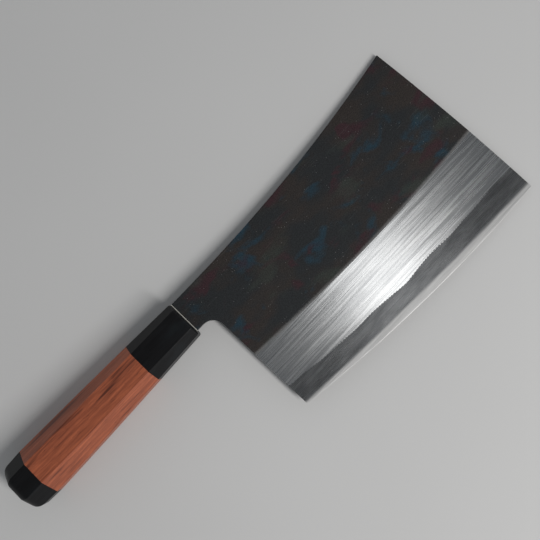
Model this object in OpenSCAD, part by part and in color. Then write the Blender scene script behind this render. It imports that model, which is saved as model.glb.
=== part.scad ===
// A kitchen cleaver with a tall three-layer steel blade and an eight-sided wooden handle.
// It is drawn lying on its side. The handle runs along X, with the blade towards +X, and
// the spine is towards +Y, the cutting edge towards -Y and the upper flat of the blade
// towards +Z. The origin is the centre of the ferrule's front face, on the handle's axis.

/* [Blade outline] */
// Length of the cutting edge from the heel to the front end
blade_len = 175; // [150:1:220]
// Height of the neck between the handle and the blade
neck_h = 21; // [17:0.5:22]
// How far the middle of the neck lies above the handle's axis
neck_rise = 1.1; // [0:0.1:1.5]
// Length of the neck from its shoulder to the heel
neck_len = 12.4; // [10:0.2:25]
// Radius of the hollow between the neck and the heel
heel_fillet = 8; // [3:0.5:9]
// Lean of the heel line towards the front, in degrees
heel_lean = 0.7; // [0:0.1:3]
// Depth of the cutting edge's lowest point under the handle's axis
edge_drop = 91; // [75:1:115]
// Distance of that lowest point from the heel
edge_low = 127; // [90:1:150]
// Radius of the cutting edge
edge_r = 915; // [600:5:2000]
// Length of the straight stretch of the spine in front of the heel
spine_straight = 10; // [0:1:60]
// Radius of the spine where it rises towards the front
spine_r = 930; // [600:10:2000]
// Depth of the foremost point of the front end under the handle's axis
front_low = 71; // [30:1:75]
// Radius of the front end
front_r = 1745; // [600:5:3000]

/* [Steel] */
// Thickness of the hard core steel
core_t = 1; // [0.6:0.1:1.6]
// Thickness of the soft cladding on each side
clad_t = 0.7; // [0.4:0.1:1.2]
// Depth of the grind line's lowest point under the handle's axis
grind_drop = 46.2; // [30:0.2:60]
// Distance of that lowest point from the heel
grind_low = 90; // [40:1:130]
// Radius of the grind line
grind_r = 1300; // [800:10:3000]
// Thickness of the blade just above its sharpened edge
edge_t = 0.26; // [0.2:0.02:0.5]
// Height of the sharpened edge
edge_h = 1.2; // [0.6:0.1:2.5]
// Thickness that is left at the very edge
edge_land = 0.06; // [0.04:0.01:0.1]

/* [Tang] */
// Length of the tang from the ferrule's front face to its end
tang_len = 88; // [60:1:90]
// Height of the tang at the shoulder
tang_h = 11; // [8:0.5:11.5]
// Height of the tang at its end
tang_end_h = 6; // [4:0.5:8]
// How much thinner the tang is than the blade, on each side
tang_draw = 0.1; // [0.05:0.05:0.3]
// Thickness of the resin between the shoulder and the ferrule
bead_t = 0.4; // [0.2:0.05:0.8]
// How far the bead of resin stands out beyond the sides of the neck
bead_out = 0.3; // [0.1:0.05:0.6]
// Thickness of the resin around the tang
resin_t = 0.4; // [0.2:0.05:0.6]

/* [Handle] */
// Length of the ferrule
ferrule_len = 34.2; // [26:0.2:45]
// Length of the wooden grip
grip_len = 83.2; // [78:0.2:110]
// Length of the butt cap
cap_len = 15.6; // [13:0.2:24]
// Width of the upper and lower flats
flat_w = 14.2; // [12:0.2:16]
// Width of the handle at its front
front_w = 23.4; // [22:0.2:26]
// Width of the handle where the ferrule meets the grip
joint_w = 26.2; // [24:0.2:30]
// Width of the handle where the grip meets the butt cap
rear_w = 31; // [28:0.2:34]
// Width of the handle at its rear end
end_w = 29.6; // [27:0.2:32]
// Thickness of the handle at its front
front_t = 19; // [18:0.2:23]
// Thickness of the handle where the ferrule meets the grip
joint_t = 20.8; // [20:0.2:25]
// Thickness of the handle where the grip meets the butt cap
rear_t = 25; // [23:0.2:28]
// Thickness of the handle at its rear end
end_t = 24.4; // [22:0.2:27]
// Width of the bevel round the ferrule's front face
front_bevel = 1.4; // [0.6:0.1:2]
// Radius of the butt cap's rear corners, seen from above
end_round = 6; // [3:0.2:8]
// Radius of the butt cap's rear corners, seen from the side
end_round_side = 4; // [2:0.2:6]

/* [Dowels] */
// Diameter of the front dowel, which holds the tang
dowel_d = 14; // [13:0.2:15]
// Thickness of the ferrule's front wall
ferrule_wall = 6; // [4:0.5:10]
// Thickness of the wood between the bores of the two dowels
dowel_web = 7; // [4:0.5:12]
// Diameter of the rear dowel, which holds the butt cap
pin_d = 10; // [6:0.2:12]
// Depth of the rear dowel in the butt cap
pin_in_cap = 9; // [6:0.5:9]
// Depth of the rear dowel in the grip
pin_in_grip = 9; // [6:0.5:12]
// Gap for glue around each dowel and at its end
glue_gap = 0.1; // [0.05:0.05:0.3]

/* [Hidden] */
$fn = 96;
// Facets of the circles with very large radii, and stations along the ground bevel
arc_fn = 720;
grind_steps = 24;
// Space that a cutting shape takes beyond what it cuts
past = 2;

steel_t = core_t + 2 * clad_t;
shoulder_x = bead_t;
neck_top = neck_rise + neck_h / 2;
neck_foot = neck_rise - neck_h / 2;
heel_x = shoulder_x + neck_len;
// The heel line leans, so its lower end lies further forward than its upper end
heel_corner_x = heel_x + (edge_drop + neck_foot) * tan(heel_lean);
edge_low_x = heel_corner_x + edge_low;
grind_low_x = heel_corner_x + grind_low;
toe_x = heel_corner_x + blade_len;
curve_x = heel_x + spine_straight;
joint_x = -ferrule_len;
rear_x = joint_x - grip_len;
end_x = rear_x - cap_len;
tang_t = steel_t - 2 * tang_draw;
slot_t = tang_t + 2 * resin_t;
saw_end_x = -tang_len - resin_t;
dowel_front_x = -ferrule_wall;
pin_end_x = rear_x + pin_in_grip;
dowel_end_x = pin_end_x + dowel_web + 2 * glue_gap;
// Half the height of the slot in the ferrule's front wall
mouth_half = tang_h / 2 + resin_t;

// Height of the bottom of a large circle at a given place along the blade
function arc_y(x, low_x, low_y, r) = low_y + r - sqrt(r * r - (x - low_x) * (x - low_x));
function edge_y(x) = arc_y(x, edge_low_x, -edge_drop, edge_r);
function grind_y(x) = arc_y(x, grind_low_x, -grind_drop, grind_r);

// Outline of the blade: the cutting edge, the front end and the rising spine are arcs of
// large circles, and the heel is a straight line
module blade_outline() {
    top = neck_top + blade_len;
    intersection() {
        translate([edge_low_x, edge_r - edge_drop]) circle(r = edge_r, $fn = arc_fn);
        translate([toe_x - front_r, -front_low]) circle(r = front_r, $fn = arc_fn);
        difference() {
            polygon([[heel_x, neck_foot], [heel_x, top], [toe_x + past, top],
                [toe_x + past, -edge_drop - past],
                [heel_corner_x + past * tan(heel_lean), -edge_drop - past]]);
            translate([curve_x, neck_top + spine_r]) circle(r = spine_r, $fn = arc_fn);
            translate([heel_x - past, neck_top]) square([curve_x - heel_x + past, top]);
        }
    }
}

// Outline of the neck with the hollow under it that runs into the heel
module neck_outline() {
    translate([shoulder_x, neck_foot]) square([neck_len + past, neck_h]);
    difference() {
        translate([heel_x - heel_fillet, neck_foot - heel_fillet])
            square([heel_fillet + past, heel_fillet + past]);
        translate([heel_x - heel_fillet, neck_foot - heel_fillet]) circle(r = heel_fillet);
    }
}

// Outline of the tang, which tapers towards its end
module tang_outline() {
    polygon([[shoulder_x + past, tang_h / 2], [-tang_len, tang_end_h / 2],
        [-tang_len, -tang_end_h / 2], [shoulder_x + past, -tang_h / 2]]);
}

// Section of the space above the ground bevel at one station: down the bevel from the
// grind line to the sharpened edge, then down the sharpened edge to the very edge
function grind_section(x) =
    let (
        top_y = grind_y(x),
        low_y = edge_y(x),
        slope = (steel_t - edge_t) / 2 / (top_y - low_y - edge_h),
        edge_slope = (edge_t - edge_land) / 2 / edge_h
    )
    [[x, top_y + past, steel_t / 2 + past * slope],
        [x, low_y + edge_h, edge_t / 2],
        [x, low_y - edge_h, edge_t / 2 - 2 * edge_h * edge_slope],
        [x, low_y - edge_h, steel_t],
        [x, top_y + past, steel_t]];

// Everything that grinding takes away from one side of the blade
module grind_space() {
    from = heel_x - past;
    step = (toe_x + past - from) / grind_steps;
    corners = len(grind_section(from));
    points = [for (i = [0:grind_steps]) each grind_section(from + i * step)];
    sides = [for (i = [0:grind_steps - 1], k = [0:corners - 1])
        let (a = i * corners + k, b = i * corners + (k + 1) % corners)
        each [[a, b, a + corners], [b, b + corners, a + corners]]];
    first = [[for (k = [corners - 1:-1:0]) k]];
    last = [[for (k = [0:corners - 1]) grind_steps * corners + k]];
    polyhedron(points = points, faces = concat(first, sides, last));
}

// One layer of the steel before grinding, from one height up to another, with its share of
// the tang, which is drawn out thinner
module steel_layer(low_z, high_z, tang_z) {
    translate([0, 0, low_z]) {
        linear_extrude(height = high_z - low_z) {
            blade_outline();
            neck_outline();
        }
        linear_extrude(height = tang_z - low_z) tang_outline();
    }
}

module core_steel() {
    color([0.42, 0.44, 0.46]) difference() {
        steel_layer(-core_t / 2, core_t / 2, core_t / 2);
        grind_space();
        mirror([0, 0, 1]) grind_space();
    }
}

module cladding() {
    color([0.16, 0.17, 0.19]) difference() {
        steel_layer(core_t / 2, steel_t / 2, tang_t / 2);
        grind_space();
    }
}

module upper_cladding() {
    cladding();
}

module lower_cladding() {
    mirror([0, 0, 1]) cladding();
}

// Slab with a level middle line that tapers from one half width to another along X.
// The bevel cuts both corners at its front end
module taper_slab(x0, half0, x1, half1, bevel) {
    reach = rear_w + rear_t;
    translate([0, 0, -reach / 2]) linear_extrude(height = reach)
        polygon([[x0, -half0], [x1 - bevel, -half1], [x1, -half1 + bevel],
            [x1, half1 - bevel], [x1 - bevel, half1], [x0, half0]]);
}

// Distance of a slanted side from the axis
function slant(w, t) = (t + flat_w) / 2 / sqrt(2);

// Tapered eight-sided bar: the common space of four slabs, two upright and two slanted
module octagon_bar(x0, w0, t0, x1, w1, t1, bevel = 0) {
    intersection() {
        taper_slab(x0, w0 / 2, x1, w1 / 2, bevel);
        rotate([90, 0, 0]) taper_slab(x0, t0 / 2, x1, t1 / 2, bevel);
        rotate([45, 0, 0]) taper_slab(x0, slant(w0, t0), x1, slant(w1, t1), bevel);
        rotate([-45, 0, 0]) taper_slab(x0, slant(w0, t0), x1, slant(w1, t1), bevel);
    }
}

// Round bar or bore along the handle's axis
module axis_bar(x0, x1, d) {
    translate([x0, 0, 0]) rotate([0, 90, 0]) cylinder(h = x1 - x0, d = d);
}

// The sawn slot for the tang and its resin, as wide as asked for
module tang_slot(x0, x1, half_h) {
    translate([x0, -half_h, -slot_t / 2]) cube([x1 - x0, 2 * half_h, slot_t]);
}

// Resin that fills the slots round the tang, with a thin bead under the shoulder
module tang_bedding() {
    color([0.62, 0.60, 0.52]) difference() {
        union() {
            tang_slot(dowel_front_x, 0, mouth_half);
            intersection() {
                axis_bar(saw_end_x, dowel_front_x, dowel_d);
                tang_slot(saw_end_x, dowel_front_x, dowel_d);
            }
            translate([0, neck_foot, -steel_t / 2 - bead_out])
                cube([bead_t, neck_h, steel_t + 2 * bead_out]);
        }
        translate([0, 0, -tang_t / 2]) linear_extrude(height = tang_t) tang_outline();
    }
}

module ferrule() {
    color([0.07, 0.06, 0.06]) difference() {
        octagon_bar(joint_x, joint_w, joint_t, 0, front_w, front_t, front_bevel);
        axis_bar(joint_x - past, dowel_front_x, dowel_d + 2 * glue_gap);
        tang_slot(dowel_front_x - past, past, mouth_half);
    }
}

module grip() {
    color([0.66, 0.25, 0.13]) difference() {
        octagon_bar(rear_x, rear_w, rear_t, joint_x, joint_w, joint_t);
        axis_bar(dowel_end_x - glue_gap, joint_x + past, dowel_d + 2 * glue_gap);
        axis_bar(rear_x - past, pin_end_x + glue_gap, pin_d + 2 * glue_gap);
    }
}

// Rectangle with round corners at its rear end only, seen square on
module rear_rounded(w, r) {
    translate([end_x + r, -w / 2]) square([cap_len, w]);
    translate([end_x, -w / 2 + r]) square([cap_len, w - 2 * r]);
    for (side = [-1, 1]) translate([end_x + r, side * (w / 2 - r)]) circle(r = r);
}

module butt_cap() {
    color([0.07, 0.06, 0.06]) difference() {
        intersection() {
            octagon_bar(end_x, end_w, end_t, rear_x, rear_w, rear_t);
            translate([0, 0, -rear_w]) linear_extrude(height = 2 * rear_w)
                rear_rounded(rear_w, end_round);
            rotate([90, 0, 0]) translate([0, 0, -rear_w]) linear_extrude(height = 2 * rear_w)
                rear_rounded(rear_t, end_round_side);
        }
        axis_bar(rear_x - pin_in_cap - glue_gap, rear_x + past, pin_d + 2 * glue_gap);
    }
}

module front_dowel() {
    color([0.78, 0.62, 0.42]) difference() {
        axis_bar(dowel_end_x, dowel_front_x, dowel_d);
        tang_slot(saw_end_x, dowel_front_x + past, dowel_d);
    }
}

module rear_dowel() {
    color([0.78, 0.62, 0.42])
        axis_bar(rear_x - pin_in_cap, pin_end_x, pin_d);
}

core_steel();
upper_cladding();
lower_cladding();
tang_bedding();
ferrule();
grip();
butt_cap();
front_dowel();
rear_dowel();
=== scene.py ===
# %% [markdown]
# # A three-layer kitchen cleaver with an eight-sided handle
#
# The cleaver lies on its side. Its blade is a sandwich: a hard core steel between two softer
# claddings that still wear the black scale of the forge. The bevel is ground through the
# cladding, so the core comes to light as a dark band along the edge. The handle is red wood
# between a black ferrule and a black butt cap. We load the exact model first, because every
# surface that follows has to sit where that model says.

# %% Load the exact model
import math
import bpy
import numpy as np
from mathutils import Matrix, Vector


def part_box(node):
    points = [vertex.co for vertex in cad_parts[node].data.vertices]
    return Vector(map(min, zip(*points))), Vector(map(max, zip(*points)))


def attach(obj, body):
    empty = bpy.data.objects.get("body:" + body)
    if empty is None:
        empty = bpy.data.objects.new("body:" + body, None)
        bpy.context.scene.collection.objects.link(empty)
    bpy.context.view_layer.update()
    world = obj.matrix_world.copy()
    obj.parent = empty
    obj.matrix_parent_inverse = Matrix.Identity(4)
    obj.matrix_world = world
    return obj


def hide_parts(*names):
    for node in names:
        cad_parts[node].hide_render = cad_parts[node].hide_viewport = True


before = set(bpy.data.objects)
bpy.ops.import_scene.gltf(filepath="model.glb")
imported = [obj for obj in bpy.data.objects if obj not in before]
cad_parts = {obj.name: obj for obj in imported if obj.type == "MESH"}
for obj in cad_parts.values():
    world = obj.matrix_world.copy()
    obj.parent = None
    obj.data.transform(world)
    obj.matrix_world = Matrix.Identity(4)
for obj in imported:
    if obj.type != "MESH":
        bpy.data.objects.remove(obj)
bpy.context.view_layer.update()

print("nodes:", ", ".join(sorted(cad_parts)))

# %% [markdown]
# ## Sizes
#
# Everything is worked out in millimetres and turned into metres at the last moment. X runs
# along the handle towards the front of the blade, Y towards the spine and Z up out of the
# flat. The places are read from the exact model's boxes, and the radii of the long curves
# are the ones the blade was drawn with.

# %% Sizes in millimetres
MM = 0.001


def node_box(name):
    """Lowest and highest corner of a node of the exact model, in millimetres."""
    low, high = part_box(name)
    return np.array(low) / MM, np.array(high) / MM


core_low, core_high = node_box("core_steel")
half_core = core_high[2]
half_steel = node_box("upper_cladding")[1][2]
tang_end_x = core_low[0]
shoulder_x = node_box("tang_bedding")[1][0]
toe_x = core_high[0]
edge_low_y = core_low[1]
neck_top = 11.6
neck_foot = -9.4
neck_length = 12.4
heel_x = shoulder_x + neck_length
heel_lean = math.tan(math.radians(0.7))
heel_fillet = 8
level_spine = 10
spine_start_x = heel_x + level_spine
spine_r = 930
front_low_y = -71
front_r = 1745
edge_length = 175
heel_corner_x = toe_x - edge_length
edge_r = 915
edge_low_x = heel_corner_x + 127
grind_r = 1300
grind_low_x = heel_corner_x + 90
grind_low_y = -46.2
tang_half_front = 5.5
tang_half_end = 3
tang_draw = 0.1
print(f"blade {toe_x - heel_x:.1f} mm long, {2 * half_steel:.2f} mm thick")

# %% [markdown]
# ## The outline as functions
#
# A blade is easier to bend, grind and wear when its outline is a set of functions than when
# it is a list of points. Each line below says how high, or how far along, one border lies.
# The long borders are arcs of very large circles.

# %% Outline functions


def arc_bottom(x, low_x, low_y, r):
    """Height of the bottom of a circle: low point plus radius minus the upright leg."""
    return low_y + r - np.sqrt(r * r - (x - low_x) ** 2)


def edge_line(x):
    return arc_bottom(x, edge_low_x, edge_low_y, edge_r)


def grind_line(x):
    return arc_bottom(x, grind_low_x, grind_low_y, grind_r)


def spine_line(x):
    """Level up to the start of the rise, then the bottom of a large circle."""
    return arc_bottom(np.maximum(x, spine_start_x), spine_start_x, neck_top, spine_r)


def front_line(y):
    """Front end: the right side of a very large circle."""
    return toe_x - front_r + np.sqrt(front_r**2 - (y - front_low_y) ** 2)


def heel_line(y):
    """Straight heel that leans forward as it goes down."""
    return heel_x + (neck_foot - np.minimum(y, neck_foot)) * heel_lean


fillet_y = neck_foot - heel_fillet
fillet_x = heel_x - heel_fillet


def neck_line(x):
    """Lower border of the neck: level, then a quarter circle down into the heel."""
    run = np.clip(x - fillet_x, 0, heel_fillet)
    return fillet_y + np.sqrt(heel_fillet**2 - run**2)


def level_line(x):
    """Level line through the foot of the fillet, where neck and blade patches part."""
    return np.full_like(x, fillet_y)


def upright_line(y):
    """Upright line through the foot of the fillet, where neck and blade patches meet."""
    return np.full_like(y, heel_x)


heel_y, toe_y, tip_y = edge_line(heel_corner_x), edge_line(toe_x), spine_line(toe_x)
print(f"heel {heel_y:.1f}, toe {toe_y:.1f}, spine tip {tip_y:.1f}")

# %% [markdown]
# ## The ground bevel
#
# A grinder takes the steel down from the grind line to the edge, and a whetstone then cuts a
# narrow, slightly steeper road along the edge. Where the bevel has eaten through the
# cladding, the core shows. The border between them is the lamination line. The grinding
# marks of this blade give it fine saw teeth, so the teeth are real geometry here: the
# cladding's lower border is cut along a saw-tooth function.

# %% Bevel and lamination line
road_thickness = 0.07
road_lip = 0.4
edge_half = 0.03
cad_edge_height = 1.2
cad_edge_half = 0.13
tooth_pitch = 1.9
rim_round = 0.26
wave_depth = 0.035


def road_width(x):
    """Width of the stone-cut road above the edge, widest past the middle."""
    return 4.7 - 3.2 * ((x - 115) / 100) ** 2


def bevel_height(x, y):
    """Half thickness on the bevel: straight down to the road, then steeper, then the edge."""
    above = y - edge_line(x)
    total = grind_line(x) - edge_line(x)
    road = road_width(x)
    slope = (half_steel - cad_edge_half) / (total - cad_edge_height)
    main = cad_edge_half + slope * (above - cad_edge_height)
    at_road = cad_edge_half + slope * (road - cad_edge_height)
    stone = road_thickness + (at_road - road_thickness) * (above - road_lip) / (road - road_lip)
    lip = edge_half + (road_thickness - edge_half) * above / road_lip
    return np.where(above > road, main, np.where(above > road_lip, stone, lip))


def waves(x, y):
    """Hand-ground unevenness from 0 to 1: a few long sine waves that cross each other."""
    total = np.sin(x / 17 + 0.6 * np.sin(y / 13)) + np.sin(y / 9 - x / 41 + 1.3)
    return 0.5 + 0.125 * (total + np.sin(x / 29 - y / 23 + 2.1) + np.sin(x / 7.3 + y / 31))


def outline_distance(x, y):
    """Distance inwards from the nearest border that a hand could touch."""
    far = np.full_like(x, 99.0)
    heel = np.where(y < fillet_y, x - heel_line(y), far)
    foot = np.where(x < fillet_x, y - neck_foot, far)
    hollow = np.hypot(x - fillet_x, y - fillet_y) - heel_fillet
    hollow = np.where((x >= fillet_x) & (y >= fillet_y), hollow, far)
    return np.minimum.reduce([spine_line(x) - y, front_line(y) - x, heel, foot, hollow])


def ease(distance, r):
    """Drop of a rounded rim: a quarter circle that ends one radius in from the border."""
    inside = np.clip(r - distance, 0, r)
    return r - np.sqrt(r * r - inside**2)


def steel_height(x, y):
    """Upper surface of the whole blade, with eased rims and faint hand-ground waves."""
    flat = np.full_like(x, half_steel)
    height = np.where(y < grind_line(x), bevel_height(x, y), flat)
    thick = height / half_steel
    height = height - wave_depth * thick * waves(x, y)
    height = height - ease(outline_distance(x, y), rim_round) * thick**2
    return np.where(x < shoulder_x, half_steel - tang_draw, height)


def saw_teeth(x):
    """Saw-tooth wave: long rise, quick fall, with a depth that swells and fades."""
    phase = x / tooth_pitch + 0.3 * np.sin(x / 11) + 0.2 * np.sin(x / 4.7)
    part = phase - np.floor(phase)
    tooth = np.where(part < 0.68, part / 0.68, (1 - part) / 0.32)
    depth = 0.62 + 0.2 * np.sin(x / 23 + 1) + 0.14 * np.sin(x / 6.1)
    return depth * (tooth - 0.5)


def lamination_line(x, teeth=1.0):
    """Where the bevel reaches the core, with the sag and wobble of hand forging."""
    total = grind_line(x) - edge_line(x)
    slope = (half_steel - cad_edge_half) / (total - cad_edge_height)
    above = cad_edge_height + (half_core - cad_edge_half) / slope
    sag = 1.5 * np.exp(-(((x - 101) / 8) ** 2)) + 0.7 * np.exp(-(((x - 60) / 14) ** 2))
    wobble = 0.28 * np.sin(x / 8.3) + 0.18 * np.sin(x / 3.9 + 1)
    return edge_line(x) + above - sag + wobble - 0.5 + teeth * saw_teeth(x)


print(f"core shows over {lamination_line(np.array(100.0)) - edge_line(100.0):.1f} mm at mid-blade")

# %% [markdown]
# ## From grids to closed plates
#
# Each layer of steel is a plate with an upper and a lower surface. We lay patches of grid
# points over the outline, weld them where they meet, lift them by a height function for each
# side and stitch a wall round the border. It is all whole-array work, so a plate of fifty
# thousand faces takes a moment. The alternative, cutting a slab with booleans, leaves long
# thin triangles that shade badly on polished metal.

# %% Grid and mesh helpers


def patch(rows, columns, upper, lower, left, right):
    """Grid between two height functions and two side functions: each point is moved back
    and forth between its share of the height and its share of the length until it settles."""
    s, t = np.meshgrid(columns, rows)
    x = heel_x + s * (toe_x - heel_x)
    for _ in range(6):
        y = upper(x) * (1 - t) + lower(x) * t
        x = left(y) * (1 - s) + right(y) * s
    return np.stack([x, y], axis=-1)


def grid_quads(row_count, column_count, start=0):
    """Corner numbers of the faces of a grid, anticlockwise from above."""
    index = start + np.arange(row_count * column_count).reshape(row_count, column_count)
    corners = [index[:-1, :-1], index[1:, :-1], index[1:, 1:], index[:-1, 1:]]
    return np.stack(corners, axis=-1).reshape(-1, 4)


def join_patches(patches):
    """One point list and one face list for several grids."""
    starts = np.cumsum([0] + [p.shape[0] * p.shape[1] for p in patches[:-1]])
    quads = [grid_quads(*p.shape[:2], start) for p, start in zip(patches, starts)]
    return np.concatenate([p.reshape(-1, 2) for p in patches]), np.concatenate(quads)


def weld(points, quads, step=1e-4):
    """Joins points that lie on each other, to a ten-thousandth of a millimetre."""
    keys = np.round(points / step).astype(np.int64)
    _, first, number = np.unique(keys, axis=0, return_index=True, return_inverse=True)
    return points[first], number.reshape(-1)[quads]


def plate(patches, top, bottom):
    """Closed plate: the welded sheet lifted to two heights, and a wall round its border.
    A border edge is one that only a single face uses."""
    flat, quads = weld(*join_patches(patches))
    count = len(flat)
    x, y = flat[:, 0], flat[:, 1]
    points = np.concatenate([np.c_[flat, top(x, y)], np.c_[flat, bottom(x, y)]])
    edges = np.stack([quads, np.roll(quads, -1, axis=1)], axis=-1).reshape(-1, 2)
    code = np.sort(edges, axis=1) @ np.array([count, 1])
    _, place, uses = np.unique(code, return_inverse=True, return_counts=True)
    a, b = edges[uses[place.reshape(-1)] == 1].T
    walls = np.stack([a, a + count, b + count, b], axis=-1)
    return points, np.concatenate([quads, quads[:, ::-1] + count, walls])


def flipped(points, quads):
    """The same plate turned to the other side of the blade."""
    return points * [1, 1, -1], quads[:, ::-1]


def make_piece(name, points, quads, materials, pick=None, marks=None, sharp=35):
    """Mesh object from millimetre points: repeated corners are dropped from a face, the
    metre coordinates and an X-Y UV map are set, and pick chooses each face's material."""
    points, quads = weld(points, quads)
    repeat = quads == np.roll(quads, -1, axis=1)
    whole = quads[repeat.sum(axis=1) == 0]
    thin = repeat.sum(axis=1) == 1
    triangles = quads[thin][~repeat[thin]].reshape(-1, 3)
    mesh = bpy.data.meshes.new(name)
    mesh.from_pydata((points * MM).tolist(), [], whole.tolist() + triangles.tolist())
    for material in materials:
        mesh.materials.append(material)
    if pick:
        faces = len(mesh.polygons)
        centres = np.empty(faces * 3)
        normals = np.empty(faces * 3)
        mesh.polygons.foreach_get("center", centres)
        mesh.polygons.foreach_get("normal", normals)
        chosen = pick(centres.reshape(-1, 3) / MM, normals.reshape(-1, 3))
        mesh.polygons.foreach_set("material_index", chosen.astype(np.int32))
    corners = np.empty(len(mesh.loops), dtype=np.int32)
    mesh.loops.foreach_get("vertex_index", corners)
    uv = mesh.uv_layers.new(name="along_blade")
    uv.data.foreach_set("uv", (points[corners][:, :2] / 100).astype(np.float32).reshape(-1))
    for mark, values in (marks or {}).items():
        layer = mesh.attributes.new(mark, "FLOAT", "POINT")
        layer.data.foreach_set("value", values(*points.T).astype(np.float32))
    mesh.shade_smooth()
    mesh.set_sharp_from_angle(angle=math.radians(sharp))
    mesh.update()
    piece = bpy.data.objects.new(name, mesh)
    bpy.context.scene.collection.objects.link(piece)
    print(f"{name}: {len(mesh.vertices)} points, {len(mesh.polygons)} faces")
    return piece


# %% [markdown]
# ## Small tools for materials
#
# A procedural finish is a chain of small sums. These helpers keep each step on one line:
# add a node, do arithmetic, mix two colours, squeeze a range. Coordinates are the object's
# own, turned into millimetres, so that every pattern below has its real size.

# %% Node helpers


def add(tree, kind, inputs=None, **settings):
    """Adds a shader node, with its settings, and its inputs linked or set."""
    made = tree.nodes.new("ShaderNode" + kind)
    for key, value in settings.items():
        setattr(made, key, value)
    for key, value in (inputs or {}).items():
        if isinstance(value, bpy.types.NodeSocket):
            tree.links.new(value, made.inputs[key])
        else:
            made.inputs[key].default_value = value
    return made


def sums(tree, operation, a, b=0.0, c=0.0, clamp=False):
    """One step of arithmetic."""
    made = add(tree, "Math", {0: a, 1: b, 2: c}, operation=operation, use_clamp=clamp)
    return made.outputs[0]


def squeeze(tree, value, low, high, to_low=0.0, to_high=1.0):
    """Smooth step from one value to another while the input goes from low to high."""
    inputs = {0: value, 1: low, 2: high, 3: to_low, 4: to_high}
    return add(tree, "MapRange", inputs, interpolation_type="SMOOTHSTEP").outputs[0]


def blend_colours(tree, share, a, b):
    """Mix of two colours by a share from 0 to 1."""
    made = add(tree, "Mix", {0: share, 6: a, 7: b}, data_type="RGBA")
    return made.outputs[2]


def scaled(tree, vector, factors):
    """Coordinates times three factors, in periods per millimetre."""
    inputs = {0: vector, 1: factors}
    return add(tree, "VectorMath", inputs, operation="MULTIPLY").outputs[0]


def noise(tree, vector, factors, detail=2.0, distortion=0.0, seed=0.0):
    """Soft noise whose cells measure one over the factors, in millimetres."""
    inputs = {
        "Vector": scaled(tree, vector, factors),
        "W": seed,
        "Scale": 1.0,
        "Detail": detail,
        "Distortion": distortion,
    }
    return add(tree, "TexNoise", inputs, noise_dimensions="4D").outputs["Fac"]


def millimetres(tree):
    """The object's own coordinates in millimetres."""
    place = add(tree, "TexCoord").outputs["Object"]
    return scaled(tree, place, (1 / MM, 1 / MM, 1 / MM))


def new_material(name):
    """Empty material: its node tree and its Principled shader."""
    made = bpy.data.materials.new(name)
    made.use_nodes = True
    shader = made.node_tree.nodes["Principled BSDF"]
    return made, made.node_tree, shader


def feed(tree, shader, **links):
    """Links values to the shader's sockets: base_color, roughness, metallic and so on."""
    for key, value in links.items():
        socket = shader.inputs[key.replace("_", " ").title()]
        if isinstance(value, bpy.types.NodeSocket):
            tree.links.new(value, socket)
        else:
            socket.default_value = value


def bump(tree, height, distance, strength=1.0):
    """Normal from a height of 0 to 1 that stands for a real depth in millimetres."""
    inputs = {"Height": height, "Distance": distance * MM, "Strength": strength}
    return add(tree, "Bump", inputs).outputs[0]


# %% [markdown]
# ## Effects that several finishes share
#
# Grinding lines, wood fibre and pores are all the same thing to a computer: noise that is
# drawn out along X. Bright pits and dust are sparse dots. Each is built once as a node group
# with named sockets, and placed in a material with that material's own sizes.

# %% Shared node groups


def new_group(name, inputs, outputs):
    """Node group with named sockets: its tree, its inputs and its output node."""
    tree = bpy.data.node_groups.new(name, "ShaderNodeTree")
    for label, kind, value in inputs:
        socket = tree.interface.new_socket(name=label, in_out="INPUT", socket_type=kind)
        socket.default_value = value
    for label, kind in outputs:
        tree.interface.new_socket(name=label, in_out="OUTPUT", socket_type=kind)
    entry = tree.nodes.new("NodeGroupInput")
    leave = tree.nodes.new("NodeGroupOutput")
    return tree, entry.outputs, leave.inputs


def use_group(tree, group, **inputs):
    """Places a shared group in a material and returns its outputs."""
    made = tree.nodes.new("ShaderNodeGroup")
    made.node_tree = group
    for key, value in inputs.items():
        socket = made.inputs[key.replace("_", " ")]
        if isinstance(value, bpy.types.NodeSocket):
            tree.links.new(value, socket)
        else:
            socket.default_value = value
    return made.outputs


def build_drawn_lines():
    """Lines along X: two noises, one fine and one coarser, stretched by the line length."""
    vector, number = "NodeSocketVector", "NodeSocketFloat"
    inputs = [("place", vector, (0, 0, 0)), ("length", number, 20.0), ("width", number, 0.3)]
    tree, entry, leave = new_group("drawn_lines", inputs, [("lines", number)])
    along = sums(tree, "DIVIDE", 1.0, entry["length"])
    across = sums(tree, "DIVIDE", 1.0, entry["width"])
    factors = add(tree, "CombineXYZ", {0: along, 1: across, 2: across}).outputs[0]
    fine = noise(tree, entry["place"], factors, detail=3.0)
    wide = add(tree, "VectorMath", {0: factors, "Scale": 0.3}, operation="SCALE").outputs[0]
    coarse = noise(tree, entry["place"], wide, detail=2.0, seed=4.0)
    both = sums(tree, "MULTIPLY_ADD", fine, 0.6, sums(tree, "MULTIPLY", coarse, 0.4))
    tree.links.new(squeeze(tree, both, 0.3, 0.7), leave["lines"])
    return tree


def build_sparse_dots():
    """Dots in the middle of some cells of a cell pattern: close to the cell's centre, and
    only where a random colour of the cell passes the share."""
    vector, number = "NodeSocketVector", "NodeSocketFloat"
    inputs = [("place", vector, (0, 0, 0)), ("spacing", number, 2.0)]
    inputs += [("size", number, 0.2), ("share", number, 0.3)]
    tree, entry, leave = new_group("sparse_dots", inputs, [("dots", number)])
    density = sums(tree, "DIVIDE", 1.0, entry["spacing"])
    cells = add(tree, "TexVoronoi", {"Vector": entry["place"], "Scale": density})
    near = sums(tree, "DIVIDE", cells.outputs["Distance"], entry["size"])
    dot = squeeze(tree, near, 1.0, 0.4)
    picked = add(tree, "SeparateColor", {0: cells.outputs["Color"]}).outputs[0]
    chosen = sums(tree, "LESS_THAN", picked, entry["share"])
    tree.links.new(sums(tree, "MULTIPLY", dot, chosen), leave["dots"])
    return tree


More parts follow.
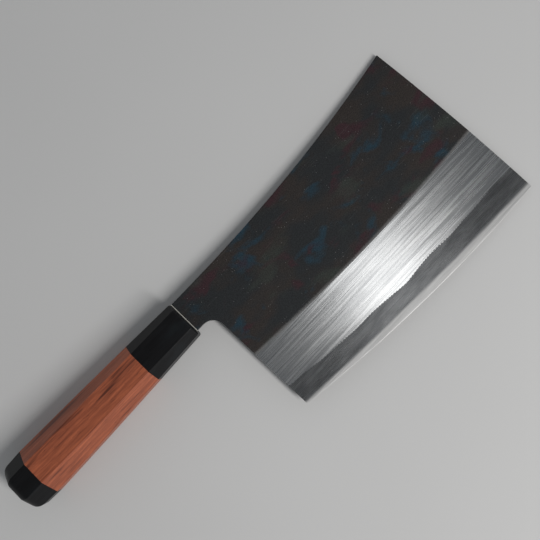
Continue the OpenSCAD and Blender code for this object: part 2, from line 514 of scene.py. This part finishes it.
drawn_lines = build_drawn_lines()
sparse_dots = build_sparse_dots()
print("groups:", drawn_lines.name, sparse_dots.name)

# %% [markdown]
# ## Forge scale
#
# The black skin of a forged blade is iron oxide. It isn't one black: where the oxide is a
# little thinner it takes tempering colours, here soft patches of steel blue, wine red and
# brown-grey some 10 to 25 mm across. The scale is a dielectric, so it stays non-metallic and
# fairly rough, with bright dots where grit has knocked it off, and it thins to bare metal
# just above the grind line.

# %% Forge scale material


def build_forge_scale():
    made, tree, shader = new_material("forge_scale")
    place = millimetres(tree)
    charcoal = (0.016, 0.018, 0.020, 1)
    umber = (0.026, 0.021, 0.019, 1)
    blue = (0.014, 0.034, 0.050, 1)
    wine = (0.033, 0.014, 0.018, 1)
    moss = (0.028, 0.036, 0.031, 1)
    ground = noise(tree, place, (0.03, 0.05, 0.05), detail=3, seed=1)
    colour = blend_colours(tree, squeeze(tree, ground, 0.42, 0.6), charcoal, umber)
    patches = noise(tree, place, (0.045, 0.07, 0.07), detail=3, distortion=0.6, seed=7)
    colour = blend_colours(tree, squeeze(tree, patches, 0.52, 0.66), colour, blue)
    stains = noise(tree, place, (0.04, 0.075, 0.07), detail=3, distortion=0.8, seed=12)
    colour = blend_colours(tree, squeeze(tree, stains, 0.55, 0.68), colour, wine)
    veils = noise(tree, place, (0.03, 0.06, 0.06), detail=2, seed=21)
    colour = blend_colours(tree, squeeze(tree, veils, 0.57, 0.7, 0, 0.8), colour, moss)
    grit = noise(tree, place, (1.6, 1.6, 1.6), detail=4, seed=3)
    shade = squeeze(tree, grit, 0.3, 0.7, 0.6, 1.5)
    tint = add(tree, "CombineColor", {0: shade, 1: shade, 2: shade}).outputs[0]
    darker = add(tree, "Mix", {0: 1.0, 6: colour, 7: tint}, data_type="RGBA")
    darker.blend_type = "MULTIPLY"
    colour = darker.outputs[2]
    clusters = squeeze(tree, noise(tree, place, (0.06, 0.1, 0.1), detail=2, seed=31), 0.4, 0.65)
    share = sums(tree, "MULTIPLY", clusters, 0.30)
    dots = use_group(tree, sparse_dots, place=place, spacing=1.3, size=0.16, share=share)[0]
    rubs = use_group(tree, drawn_lines, place=place, length=9.0, width=0.16)[0]
    rubs = sums(tree, "MULTIPLY", squeeze(tree, rubs, 0.86, 1.0), clusters)
    worn = add(tree, "Attribute", attribute_name="above_grind").outputs["Fac"]
    fringe = squeeze(tree, sums(tree, "MULTIPLY_ADD", grit, -2.0, worn), 1.1, -0.9)
    bare = sums(tree, "MULTIPLY", fringe, 0.5)
    bare = sums(tree, "MAXIMUM", bare, sums(tree, "MULTIPLY", dots, 0.8))
    bare = sums(tree, "MAXIMUM", bare, sums(tree, "MULTIPLY", rubs, 0.22))
    colour = blend_colours(tree, bare, colour, (0.36, 0.36, 0.36, 1))
    rough = squeeze(tree, patches, 0.4, 0.7, 0.50, 0.38)
    rough = sums(tree, "MULTIPLY_ADD", grit, 0.12, rough)
    skin = noise(tree, place, (0.22, 0.3, 0.3), detail=5, seed=5)
    relief = sums(tree, "MULTIPLY_ADD", grit, 0.25, skin)
    feed(tree, shader, base_color=colour, roughness=rough, metallic=bare)
    feed(tree, shader, normal=bump(tree, relief, 0.12, 0.5))
    shader.inputs["Specular IOR Level"].default_value = 0.3
    return made


forge_scale = build_forge_scale()

# %% [markdown]
# ## Ground satin
#
# The bevel is bare mild steel that a belt has ground lengthwise. Under the microscope it is
# all parallel scratches, which spread a reflection across them and keep it narrow along
# them. Principled's anisotropy does just that, turned a quarter so that the spread runs
# across the blade. The scratches that the eye can still see are drawn lines, in colour,
# roughness and a whisper of bump.

# %% Ground satin material


def build_ground_satin():
    made, tree, shader = new_material("ground_satin")
    place = millimetres(tree)
    lines = use_group(tree, drawn_lines, place=place, length=30.0, width=0.34)[0]
    hairs = use_group(tree, drawn_lines, place=place, length=11.0, width=0.13)[0]
    tone = sums(tree, "MULTIPLY_ADD", hairs, 0.4, sums(tree, "MULTIPLY", lines, 0.6))
    colour = blend_colours(tree, tone, (0.47, 0.48, 0.49, 1), (0.68, 0.69, 0.70, 1))
    haze = noise(tree, place, (0.02, 0.16, 0.16), detail=3, seed=9)
    veil = squeeze(tree, haze, 0.45, 0.7, 0, 0.35)
    colour = blend_colours(tree, veil, colour, (0.36, 0.37, 0.385, 1))
    rough = squeeze(tree, tone, 0.1, 0.9, 0.21, 0.30)
    feed(tree, shader, base_color=colour, metallic=1.0, roughness=rough)
    shader.inputs["Anisotropic"].default_value = 0.9
    shader.inputs["Anisotropic Rotation"].default_value = 0.25
    tangent = add(tree, "Tangent", direction_type="UV_MAP", uv_map="along_blade").outputs[0]
    tree.links.new(tangent, shader.inputs["Tangent"])
    feed(tree, shader, normal=bump(tree, tone, 0.004, 0.6))
    return made


ground_satin = build_ground_satin()

# %% [markdown]
# ## Core steel
#
# The hard core takes a finer polish than the cladding and looks darker beside it, because it
# mirrors the dim ceiling where the cladding scatters the lamp. That darker look is painted into
# the core's low grey base colour as a painted reflection of the dim ceiling. The stone-cut road
# along the edge is hazier and lighter, with a border that the whetstone left soft.

# %% Core steel material


def build_core_steel():
    made, tree, shader = new_material("core_steel_polish_and_painted_reflection")
    place = millimetres(tree)
    lines = use_group(tree, drawn_lines, place=place, length=16.0, width=0.22)[0]
    cloud = noise(tree, place, (0.05, 0.2, 0.2), detail=3, seed=2)
    clear = squeeze(tree, cloud, 0.35, 0.65)
    # The low greys here are a painted reflection: the dim ceiling mirrored in the core, painted into its
    # base colour.
    colour = blend_colours(tree, clear, (0.20, 0.205, 0.21, 1), (0.30, 0.305, 0.31, 1))
    above = add(tree, "Attribute", attribute_name="above_road").outputs["Fac"]
    soft = sums(tree, "MULTIPLY_ADD", cloud, 1.2, above)
    road = squeeze(tree, soft, 1.5, -0.6)
    light = blend_colours(tree, lines, (0.52, 0.52, 0.52, 1), (0.70, 0.70, 0.70, 1))
    colour = blend_colours(tree, road, colour, light)
    dots = use_group(tree, sparse_dots, place=place, spacing=2.4, size=0.14, share=0.16)[0]
    colour = blend_colours(tree, sums(tree, "MULTIPLY", dots, 0.7), colour, (0.7, 0.7, 0.7, 1))
    rough = sums(tree, "MULTIPLY_ADD", road, 0.14, squeeze(tree, lines, 0, 1, 0.24, 0.30))
    feed(tree, shader, base_color=colour, metallic=1.0, roughness=rough)
    feed(tree, shader, normal=bump(tree, lines, 0.002, 0.5))
    return made


core_polish_and_painted_reflection = build_core_steel()

# %% [markdown]
# ## Cut sides
#
# Round its rim the blade is cut across its layers. The rim was filed, not polished, and has
# darkened since, so it is a dull grey metal with short marks.

# %% Filed rim material


def build_filed_rim():
    made, tree, shader = new_material("filed_rim")
    place = millimetres(tree)
    marks = noise(tree, place, (0.6, 0.6, 4.0), detail=3, seed=8)
    stain = noise(tree, place, (0.08, 0.08, 0.08), detail=3, seed=15)
    colour = blend_colours(tree, marks, (0.05, 0.05, 0.052, 1), (0.16, 0.16, 0.165, 1))
    colour = blend_colours(tree, squeeze(tree, stain, 0.4, 0.65), colour, (0.035, 0.034, 0.034, 1))
    rough = squeeze(tree, marks, 0.2, 0.8, 0.36, 0.5)
    feed(tree, shader, base_color=colour, metallic=0.85, roughness=rough)
    feed(tree, shader, normal=bump(tree, marks, 0.02, 0.4))
    return made


filed_rim = build_filed_rim()

# %% [markdown]
# ## The three layers of the blade
#
# The two claddings end on the saw-toothed lamination line in a feather edge, and the core
# runs on to the cutting edge between them. Columns stand close enough to draw each tooth,
# and rows crowd together at the rim, where the corner is eased by a quarter of a
# millimetre. The core dips a few thousandths of a millimetre under the cladding, so that the
# two never fight for the same place.

# %% Rows and columns of the blade's grids
rim_steps = np.array([0, 0.04, 0.10, 0.17, rim_round])
first_column = 0.5
blade_run = toe_x - heel_x


def columns(count):
    """Shares of the blade's length, crowded at both ends."""
    near = rim_steps / blade_run
    inset = first_column / blade_run
    return np.concatenate([near, np.linspace(inset, 1 - inset, count), 1 - near[::-1]])


neck_height = neck_top - neck_foot
tang_top = (neck_top - tang_half_front) / neck_height
tang_foot = (neck_top + tang_half_front) / neck_height
near_rows = rim_steps / (neck_top - fillet_y)
upper_rows = np.unique(np.round(np.concatenate([
    near_rows,
    np.linspace(0.02, tang_top, 4),
    np.linspace(tang_top, tang_foot, 8),
    np.linspace(tang_foot, 0.98, 4),
    1 - near_rows,
]), 6))
tang_rows = upper_rows[(upper_rows > tang_top - 1e-5) & (upper_rows < tang_foot + 1e-5)]


def neck_patch():
    """Neck from the shoulder to the heel line, sharing its last column with the blade."""
    q = upper_rows[:, None]
    straight = np.linspace(shoulder_x, fillet_x, 4)
    hollow = fillet_x + heel_fillet * np.sin(np.linspace(0.12, 1, 12) * math.pi / 2)
    x = np.concatenate([straight, hollow])
    x = np.broadcast_to(x, (len(upper_rows), len(x)))
    return np.stack([x, neck_top * (1 - q) + neck_line(x) * q], axis=-1)


def tang_patch():
    """Tang: its half height falls evenly from the shoulder to its end."""
    x = np.concatenate([np.linspace(tang_end_x, shoulder_x - 0.05, 12), [shoulder_x]])
    share = (x - tang_end_x) / (shoulder_x - tang_end_x)
    half = tang_half_end + (tang_half_front - tang_half_end) * share
    level = (neck_top - neck_height * tang_rows)[:, None] / tang_half_front
    return np.stack([np.broadcast_to(x, (len(tang_rows), len(x))), level * half], axis=-1)


def layer_patches(columns_used, lower_parts):
    """Tang, neck, and the blade's rows from the spine down through the given lines."""
    parts = [tang_patch(), neck_patch()]
    parts.append(patch(upper_rows, columns_used, spine_line, level_line, upright_line, front_line))
    upper = level_line
    for rows, lower in lower_parts:
        parts.append(patch(rows, columns_used, upper, lower, heel_line, front_line))
        upper = lower
    return parts


def crowded(count, near=(0.004, 0.015)):
    """Even rows with two more at each end, so that a crease stays crisp."""
    near = np.array(near)
    return np.concatenate([[0], near, np.linspace(0.05, 0.95, count), 1 - near[::-1], [1]])


print(f"{len(upper_rows)} rows above the heel's hollow, {len(tang_rows)} of them on the tang")

# %% [markdown]
# ### Claddings
#
# One shell serves both sides, because the blade is ground alike on both: the far cladding is
# the near one with its heights turned over and its faces turned round, which keeps them
# facing outwards. Each face picks its finish by where it lies.

# %% Claddings
clad_parts = [(crowded(9), grind_line), (crowded(14), lamination_line)]
clad_patches = layer_patches(columns(540), clad_parts)


def clad_bottom(x, y):
    """Underside of the cladding: level on the core, or just under its own feather edge."""
    return np.minimum(half_core, steel_height(x, y) - 0.002)


def clad_finish(centres, normals):
    """0 scale on the flat, 1 satin on the bevel, 2 the filed rim."""
    x, y, _ = centres.T
    finish = np.where(y < grind_line(x), 1, 0)
    return np.where(np.abs(normals[:, 2]) < 0.4, 2, finish)


def above_grind(x, y, _):
    """Millimetres above the grind line, for the worn strip of the scale."""
    return y - grind_line(x)


clad_materials = [forge_scale, ground_satin, filed_rim]
clad_marks = {"above_grind": above_grind}
clad_shell = plate(clad_patches, steel_height, clad_bottom)
upper_clad = make_piece("cladding_near", *clad_shell, clad_materials, clad_finish, clad_marks)
far_shell = flipped(*clad_shell)
lower_clad = make_piece("cladding_far", *far_shell, clad_materials, clad_finish, clad_marks)
for piece, node_name in ((upper_clad, "upper_cladding"), (lower_clad, "lower_cladding")):
    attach(piece, "root")
    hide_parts(node_name)

# %% [markdown]
# ### Core
#
# The core is one more plate, with the same height function on both sides. It has rows of its
# own along the road and the lip, where the cladding has none.

# %% Core


def smooth_lamination(x):
    """Start of the core's own rows, a little above the toothed line."""
    return lamination_line(x, teeth=0.0) + 1.5


def road_line(x):
    return edge_line(x) + road_width(x)


def lip_line(x):
    return edge_line(x) + road_lip


def core_top(x, y):
    """Upper surface of the core: level under the cladding, then along the bevel."""
    return np.minimum(half_core - 0.004, steel_height(x, y) - 0.003)


def core_finish(_, normals):
    """0 the polished bevel, 1 the filed rim."""
    return np.where(np.abs(normals[:, 2]) < 0.4, 1, 0)


def above_road(x, y, _):
    """Millimetres above the road, for the soft border of its haze."""
    return y - road_line(x)


core_parts = [
    (crowded(6), grind_line),
    (crowded(5), smooth_lamination),
    (crowded(12), road_line),
    (crowded(8), lip_line),
    (np.linspace(0, 1, 4), edge_line),
]
core_patches = layer_patches(columns(170), core_parts)
core_shell = plate(core_patches, core_top, lambda x, y: -core_top(x, y))
core_materials = [core_polish_and_painted_reflection, filed_rim]
core_marks = {"above_road": above_road}
core = make_piece("core", *core_shell, core_materials, core_finish, core_marks)
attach(core, "root")
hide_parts("core_steel")

# %% [markdown]
# ## Red wood
#
# The grip is a dense red-orange wood with straight grain. Three scales make it: broad dark
# streaks where the growth rings run out on the faces, fine fibre, and open pores that show
# as short dark dashes. All three are functions of the place inside the solid, so the grain
# runs round the edges from face to face as it does in a real piece.

# %% Red wood material


def build_red_wood():
    made, tree, shader = new_material("red_wood")
    place = millimetres(tree)
    turned = add(tree, "Mapping", {"Vector": place, "Rotation": (0.0, 0.03, 0.022)}).outputs[0]
    parts = add(tree, "SeparateXYZ", {0: turned}).outputs
    drift = noise(tree, turned, (0.012, 0.12, 0.12), detail=2, seed=6)
    radius = sums(tree, "MULTIPLY_ADD", parts[2], 0.55, parts[1])
    rings = sums(tree, "MULTIPLY_ADD", drift, 9.0, radius)
    wave = sums(tree, "SINE", sums(tree, "MULTIPLY", rings, 1.9))
    bands = squeeze(tree, wave, -0.2, 1.0)
    fibre = use_group(tree, drawn_lines, place=turned, length=34.0, width=0.42)[0]
    streak = use_group(tree, drawn_lines, place=turned, length=70.0, width=1.5)[0]
    pores = use_group(tree, drawn_lines, place=turned, length=6.0, width=0.17)[0]
    light = (0.45, 0.125, 0.058, 1)
    middle = (0.24, 0.062, 0.030, 1)
    dark = (0.050, 0.013, 0.009, 1)
    colour = blend_colours(tree, fibre, middle, light)
    colour = blend_colours(tree, sums(tree, "MULTIPLY", bands, 0.5), colour, middle)
    in_bands = sums(tree, "MULTIPLY_ADD", bands, 0.5, 0.5)
    deep = sums(tree, "MULTIPLY", squeeze(tree, streak, 0.55, 0.95), in_bands)
    colour = blend_colours(tree, sums(tree, "MULTIPLY", deep, 0.8), colour, dark)
    holes = squeeze(tree, pores, 0.8, 0.97)
    colour = blend_colours(tree, sums(tree, "MULTIPLY", holes, 0.7), colour, dark)
    rough = sums(tree, "MULTIPLY_ADD", fibre, -0.08, 0.46)
    height = sums(tree, "MULTIPLY_ADD", holes, -0.8, fibre)
    feed(tree, shader, base_color=colour, roughness=rough, normal=bump(tree, height, 0.035, 0.5))
    shader.inputs["Specular IOR Level"].default_value = 0.4
    return made


red_wood = build_red_wood()

# %% [markdown]
# ## Black wood
#
# The ferrule and the butt cap are a wood so dense and dark that it looks black, rubbed to a
# satin shine. What grain there is shows mostly in the gloss, with a cold grey bloom from
# handling.

# %% Black wood material


def build_black_wood():
    made, tree, shader = new_material("black_wood")
    place = millimetres(tree)
    fibre = use_group(tree, drawn_lines, place=place, length=14.0, width=0.3)[0]
    bloom = noise(tree, place, (0.05, 0.12, 0.12), detail=4, seed=14)
    colour = blend_colours(tree, fibre, (0.0035, 0.0035, 0.004, 1), (0.008, 0.008, 0.009, 1))
    colour = blend_colours(tree, squeeze(tree, bloom, 0.45, 0.7, 0, 0.6), colour, (0.009, 0.012, 0.014, 1))
    rough = sums(tree, "MULTIPLY_ADD", bloom, 0.16, squeeze(tree, fibre, 0, 1, 0.27, 0.34))
    feed(tree, shader, base_color=colour, roughness=rough, normal=bump(tree, fibre, 0.012, 0.4))
    shader.inputs["Specular IOR Level"].default_value = 0.22
    return made


black_wood = build_black_wood()

# %% [markdown]
# ## The handle
#
# Each part of the handle is an eight-sided bar that widens towards the rear. We give each
# side its distance from the axis at every station along the handle, solve where neighbouring
# sides meet, and round that corner with a small arc. The ends are eased the same way, by
# pulling all eight sides in over the last millimetres. A loft of plain octagons would have
# razor corners, and a bevel modifier would round the joints between the parts unevenly.

# %% Handle profile
flat_half = 7.1
side_angles = np.radians(np.arange(8) * 45)
joint_x = node_box("ferrule")[0][0]
rear_x = node_box("grip")[0][0]
end_x = node_box("butt_cap")[0][0]
stations = np.array([end_x, rear_x, joint_x, 0.0])
half_widths = np.array([14.8, 15.5, 13.1, 11.7])
half_heights = np.array([12.2, 12.5, 10.4, 9.5])


def side_distances(x):
    """Distance of the eight sides from the axis: width, slant, height, slant and so on."""
    width = np.interp(x, stations, half_widths)
    height = np.interp(x, stations, half_heights)
    belly = 0.12 * np.sin(np.clip((x - rear_x) / (joint_x - rear_x), 0, 1) * math.pi)
    slant = (height + flat_half) / math.sqrt(2) + belly
    return np.stack([width + belly, slant, height, slant] * 2, axis=-1)


def handle_rings(x, corner, start_round, end_round):
    """Rings of points round the handle at the stations x. The sides are pulled in near both
    ends by a quarter circle, and each corner is an arc between two neighbouring sides."""
    distances = side_distances(x)
    distances = distances - ease((x - x[0])[:, None], start_round)
    distances = distances - ease((x[-1] - x)[:, None], end_round)
    near = distances - corner
    next_near = np.roll(near, -1, axis=1)
    offset = (next_near - near * math.cos(math.pi / 4)) / math.sin(math.pi / 4)
    out = np.stack([np.cos(side_angles), np.sin(side_angles)], axis=-1)
    along = np.stack([-np.sin(side_angles), np.cos(side_angles)], axis=-1)
    centre = near[..., None] * out + offset[..., None] * along
    turn = side_angles[:, None] + np.radians(np.linspace(0, 45, 7))
    arcs = centre[:, :, None] + corner * np.stack([np.cos(turn), np.sin(turn)], axis=-1)
    first = np.roll(arcs[:, :, :1], -1, axis=1)
    share = np.array([0.05, 0.25, 0.5, 0.75, 0.95])[:, None]
    faces = arcs[:, :, -1:] * (1 - share) + first * share
    ring = np.concatenate([arcs, faces], axis=2).reshape(len(x), -1, 2)
    return np.concatenate([np.broadcast_to(x[:, None, None], ring[..., :1].shape), ring], axis=-1)


def closed_bar(rings):
    """Closes both ends of a stack of rings with flat faces that shrink to a pole, and joins
    the last point of each ring to its first."""
    shrink = np.array([0.0, 0.5, 0.93])[:, None, None] * [0, 1, 1] + [1, 0, 0]
    rear = rings[:1] * shrink
    front = (rings[-1:] * shrink)[::-1]
    stack = np.concatenate([rear, rings, front])
    stack = np.concatenate([stack, stack[:, :1]], axis=1)
    return stack.reshape(-1, 3), grid_quads(*stack.shape[:2])


def end_stations(start, stop, start_round, end_round, count):
    """Stations that crowd into both rounded ends."""
    bend = 1 - np.cos(np.linspace(0, 1, 10) * math.pi / 2)
    near = start + start_round.max() * bend
    far = stop - end_round.max() * bend[::-1]
    return np.concatenate([near, np.linspace(near[-1], far[0], count)[1:-1], far])


def handle_part(name, start, stop, corner, start_round, end_round, material, node_name):
    """One part of the handle between two stations."""
    start_round, end_round = np.array(start_round, float), np.array(end_round, float)
    x = end_stations(start, stop, start_round, end_round, 40)
    points, quads = closed_bar(handle_rings(x, corner, start_round, end_round))
    part = make_piece(name, points, quads, [material])
    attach(part, "root")
    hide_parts(node_name)
    return part


hair = [0.14] * 8
handle_part("ferrule_body", joint_x, 0, 0.5, hair, [1.3] * 8, black_wood, "ferrule")
handle_part("grip_body", rear_x, joint_x, 0.35, hair, hair, red_wood, "grip")
cap_round = [6, 5, 4, 5] * 2
handle_part("cap_body", end_x, rear_x, 0.5, cap_round, hair, black_wood, "butt_cap")

# %% [markdown]
# ## Resin at the neck
#
# The maker fills the slot round the tang with resin, and a thin line of it is squeezed out
# where the neck meets the ferrule. It catches the light as a bright hair across the neck. It
# is a lumpy bead: a small circle carried round the neck, with a radius that wanders.

# %% Resin bead


def build_resin():
    made, tree, shader = new_material("clear_resin")
    place = millimetres(tree)
    cloud = noise(tree, place, (0.8, 0.8, 0.8), detail=3, seed=17)
    colour = blend_colours(tree, cloud, (0.34, 0.33, 0.30, 1), (0.62, 0.61, 0.57, 1))
    rough = squeeze(tree, cloud, 0.3, 0.7, 0.12, 0.3)
    feed(tree, shader, base_color=colour, roughness=rough, normal=bump(tree, cloud, 0.03, 0.4))
    return made


resin = build_resin()


def bead_points(turns=240, sides=10):
    """Ring of circles round a flat rectangle with round corners: the path goes round the
    neck's section, and the radius is a sum of sines."""
    u = np.linspace(0, 2 * math.pi, turns + 1)
    middle_y, half_y = (neck_top + neck_foot) / 2, neck_height / 2
    power = 0.12
    path_y = middle_y + half_y * np.sign(np.cos(u)) * np.abs(np.cos(u)) ** power
    path_z = half_steel * np.sign(np.sin(u)) * np.abs(np.sin(u)) ** (2 * power)
    r = 0.24 + 0.06 * np.sin(7 * u + 1) + 0.04 * np.sin(17 * u) + 0.03 * np.sin(41 * u + 2)
    v = np.linspace(0, 2 * math.pi, sides + 1)[:, None]
    x = 0.16 + r * np.sin(v)
    y = path_y + 0.6 * r * np.cos(v) * np.cos(u)
    z = path_z + 0.9 * r * np.cos(v) * np.sign(np.sin(u)) * np.abs(np.sin(u)) ** 0.5
    return np.stack([x, y, z], axis=-1).reshape(-1, 3), grid_quads(sides + 1, turns + 1)


bead = make_piece("resin_bead", *bead_points(), [resin], sharp=180)
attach(bead, "root")

# %% [markdown]
# ## Hidden pieces
#
# The dowels and the resin bed are right as they come from the exact model and are never
# seen, so they only need a finish for the day that someone takes the handle apart.

# %% Finishes of the hidden pieces


def build_pale_wood():
    made, tree, shader = new_material("pale_wood")
    place = millimetres(tree)
    fibre = use_group(tree, drawn_lines, place=place, length=25.0, width=0.5)[0]
    colour = blend_colours(tree, fibre, (0.50, 0.34, 0.18, 1), (0.66, 0.48, 0.28, 1))
    feed(tree, shader, base_color=colour, roughness=squeeze(tree, fibre, 0, 1, 0.5, 0.62))
    feed(tree, shader, normal=bump(tree, fibre, 0.02, 0.4))
    return made


pale_wood = build_pale_wood()
hidden_finishes = {"front_dowel": pale_wood, "rear_dowel": pale_wood, "tang_bedding": resin}
for node_name, material in hidden_finishes.items():
    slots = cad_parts[node_name].data.materials
    slots.clear()
    slots.append(material)

# %% [markdown]
# ## Floor
#
# Lying down, the cleaver touches the floor with the rear of the handle and the front of the
# blade, so the floor slopes two degrees in the cleaver's own frame. We tilt the floor rather
# than the cleaver, because the part has to stay where its frame says.

# %% Floor
rest_rear = (end_x + 4.5, -half_heights[0])
rest_front = (toe_x - 1.5, -half_steel)
floor_slope = (rest_front[1] - rest_rear[1]) / (rest_front[0] - rest_rear[0])
floor_reach = 2500


def build_floor():
    made, tree, shader = new_material("pale_floor")
    place = millimetres(tree)
    cloud = noise(tree, place, (0.004, 0.004, 0.004), detail=3, seed=11)
    colour = blend_colours(tree, cloud, (0.60, 0.60, 0.60, 1), (0.66, 0.66, 0.66, 1))
    feed(tree, shader, base_color=colour, roughness=0.8)
    shader.inputs["Specular IOR Level"].default_value = 0.2
    corners = np.array([[-1, -1], [1, -1], [1, 1], [-1, 1]]) * floor_reach
    height = rest_rear[1] + floor_slope * (corners[:, 0] - rest_rear[0]) - 0.15
    mesh = bpy.data.meshes.new("floor")
    mesh.from_pydata((np.c_[corners, height] * MM).tolist(), [], [[0, 1, 2, 3]])
    mesh.materials.append(made)
    floor = bpy.data.objects.new("floor", mesh)
    bpy.context.scene.collection.objects.link(floor)
    return floor


build_floor()
print(f"floor slopes {math.degrees(math.atan(floor_slope)):.2f} degrees")

# %% [markdown]
# ## Lamps and world
#
# One large soft lamp stands low on the edge side, as the window did, square to the middle of
# the bevel, so that the ground steel spreads its mirror image into a bright band there. A
# second, weak one hangs where the camera sees it mirrored in the same place. The world is dim
# overhead and pale at the horizon, like a studio with light walls under a dark ceiling.

# %% Lamps and world


def soft_lamp(name, place, aim, width, depth, power, tint):
    """Rectangular lamp at a place in millimetres, turned towards the point it lights."""
    data = bpy.data.lights.new(name, "AREA")
    data.shape = "RECTANGLE"
    data.size, data.size_y = width * MM, depth * MM
    data.energy = power
    data.color = tint
    lamp = bpy.data.objects.new(name, data)
    away = np.array(place, float) - np.array(aim, float)
    back = away / np.linalg.norm(away)
    side = np.cross([0, 1, 0], back)
    side = side / np.linalg.norm(side)
    up = np.cross(back, side)
    turn = np.eye(4)
    turn[:3, 0], turn[:3, 1], turn[:3, 2] = side, up, back
    turn[:3, 3] = np.array(place) * MM
    lamp.matrix_world = Matrix(turn.tolist())
    bpy.context.scene.collection.objects.link(lamp)
    return lamp


soft_lamp("window", (252, -880, 900), (94, -62, 0), 240, 640, 10.0, (1.0, 0.985, 0.96))
soft_lamp("bevel_light", (205, -160, 900), (90, -62, 0), 130, 200, 0.12, (1.0, 1.0, 1.0))

world = bpy.data.worlds.new("studio")
bpy.context.scene.world = world
world.use_nodes = True
sky = world.node_tree
direction = add(sky, "TexCoord").outputs["Generated"]
height = add(sky, "SeparateXYZ", {0: direction}).outputs[2]
dim = squeeze(sky, height, 0.25, 0.95)
tone = blend_colours(sky, dim, (0.50, 0.51, 0.52, 1), (0.10, 0.105, 0.11, 1))
sky.links.new(tone, sky.nodes["Background"].inputs["Color"])
sky.nodes["Background"].inputs["Strength"].default_value = 1.0

# %% [markdown]
# ## Camera
#
# The camera looks almost straight down from 45 cm, turned 46 degrees about its own axis so
# that the cleaver crosses the picture. Its place follows from a point on the blade, the
# distance and two small tilts, and the lens from the focal length in picture points.

# %% Camera
aim = np.array([53.3, -15.4, 0.0])
camera_distance = 449.2
tilt_to_edge = math.radians(7)
tilt_to_butt = math.radians(2)
image_turn = math.radians(46.3)
focal_pixels = 791
image_pixels = 540

back = np.array([-math.sin(tilt_to_butt), -math.sin(tilt_to_edge), 0])
back[2] = math.sqrt(1 - back @ back)
level = np.array([1, 0, 0]) - back[0] * back
level = level / np.linalg.norm(level)
across = np.cross(back, level)
right = math.cos(image_turn) * level - math.sin(image_turn) * across
up = math.sin(image_turn) * level + math.cos(image_turn) * across
stand = np.eye(4)
stand[:3, 0], stand[:3, 1], stand[:3, 2] = right, up, back
stand[:3, 3] = (aim + camera_distance * back) * MM

camera_data = bpy.data.cameras.new("camera")
camera_data.sensor_width = 36
camera_data.lens = focal_pixels / image_pixels * camera_data.sensor_width
camera_data.clip_start, camera_data.clip_end = 0.01, 20
camera = bpy.data.objects.new("camera", camera_data)
camera.matrix_world = Matrix(stand.tolist())
bpy.context.scene.collection.objects.link(camera)
bpy.context.scene.camera = camera
bpy.context.scene.view_settings.view_transform = "Standard"
print("camera stands at", np.round(stand[:3, 3], 3).tolist())
